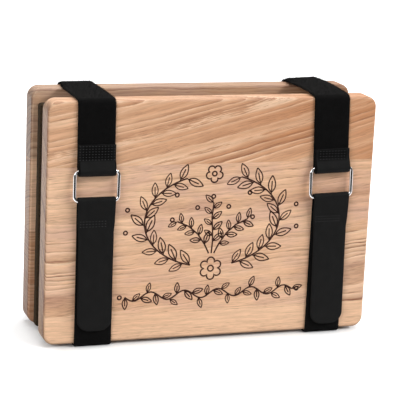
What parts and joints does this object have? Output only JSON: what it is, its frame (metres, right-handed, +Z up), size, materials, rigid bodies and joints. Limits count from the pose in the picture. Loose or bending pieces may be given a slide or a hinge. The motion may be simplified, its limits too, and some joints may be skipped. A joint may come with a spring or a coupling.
{
  "type": "flower press",
  "caption": "Standing flower press: rounded wooden boards clamp foam, corrugated dividers and blotters, held by hook-and-loop straps cinched through wire rings.",
  "frame": {"origin": "on the surface that the press stands on, under the middle of the whole press", "axes": "+Z up, +X along the boards' long side to the right, the front board with the rings faces -Y"},
  "size_m": [0.25, 0.0797, 0.1832],
  "materials": {
    "ash": "satin",
    "foam": "matte",
    "corrugated_card": "matte",
    "blotting_paper": "matte",
    "pile_tape": "matte",
    "hook_tape": "matte",
    "hooks": "matte",
    "chrome_wire": "polished"
  },
  "bodies": {
    "rear": {"rear_board": "ash", "rear_foam_pad": "foam", "divider_1": "corrugated_card", "blotter_1": "blotting_paper", "left_strap_back": "pile_tape", "right_strap_back": "pile_tape"},
    "front": {"front_board": "ash", "front_foam_pad": "foam", "divider_5": "corrugated_card", "blotter_8": "blotting_paper", "left_strap_upper": "pile_tape", "left_strap_lower": "pile_tape", "right_strap_upper": "pile_tape", "right_strap_lower": "pile_tape"},
    "leaf_1": {"blotter_2": "blotting_paper", "divider_2": "corrugated_card", "blotter_3": "blotting_paper"},
    "leaf_2": {"blotter_4": "blotting_paper", "divider_3": "corrugated_card", "blotter_5": "blotting_paper"},
    "leaf_3": {"blotter_6": "blotting_paper", "divider_4": "corrugated_card", "blotter_7": "blotting_paper"},
    "left_ring": {"left_ring": "chrome_wire"},
    "left_tail": {"left_tail": "hook_tape", "left_hook_patch": "hooks"},
    "right_ring": {"right_ring": "chrome_wire"},
    "right_tail": {"right_tail": "hook_tape", "right_hook_patch": "hooks"}
  },
  "joints": [
    {"name": "press_open", "type": "slide", "parent": "rear", "child": "front", "axis": [0, -1, 0], "range_m": [0, 0.025]},
    {"name": "leaf_1_spread", "type": "slide", "parent": "rear", "child": "leaf_1", "axis": [0, -1, 0], "range_m": [0, 0.00625]},
    {"name": "leaf_2_spread", "type": "slide", "parent": "rear", "child": "leaf_2", "axis": [0, -1, 0], "range_m": [0, 0.0125]},
    {"name": "leaf_3_spread", "type": "slide", "parent": "rear", "child": "leaf_3", "axis": [0, -1, 0], "range_m": [0, 0.01875]},
    {"name": "left_ring_swing", "type": "hinge", "parent": "front", "child": "left_ring", "pos_m": [-0.0893, -0.0361, 0.1313], "axis": [-1, 0, 0], "range_deg": [0, 40]},
    {"name": "left_tail_peel", "type": "hinge", "parent": "left_ring", "child": "left_tail", "pos_m": [-0.0893, -0.0361, 0.1098], "axis": [-1, 0, 0], "range_deg": [0, 135]},
    {"name": "right_ring_swing", "type": "hinge", "parent": "front", "child": "right_ring", "pos_m": [0.09, -0.0361, 0.1284], "axis": [-1, 0, 0], "range_deg": [0, 40]},
    {"name": "right_tail_peel", "type": "hinge", "parent": "right_ring", "child": "right_tail", "pos_m": [0.09, -0.0361, 0.1069], "axis": [-1, 0, 0], "range_deg": [0, 135]}
  ],
  "couplings": [
    {"joint": "leaf_1_spread", "follows": "press_open", "ratio": 0.25},
    {"joint": "leaf_2_spread", "follows": "press_open", "ratio": 0.5},
    {"joint": "leaf_3_spread", "follows": "press_open", "ratio": 0.75}
  ]
}
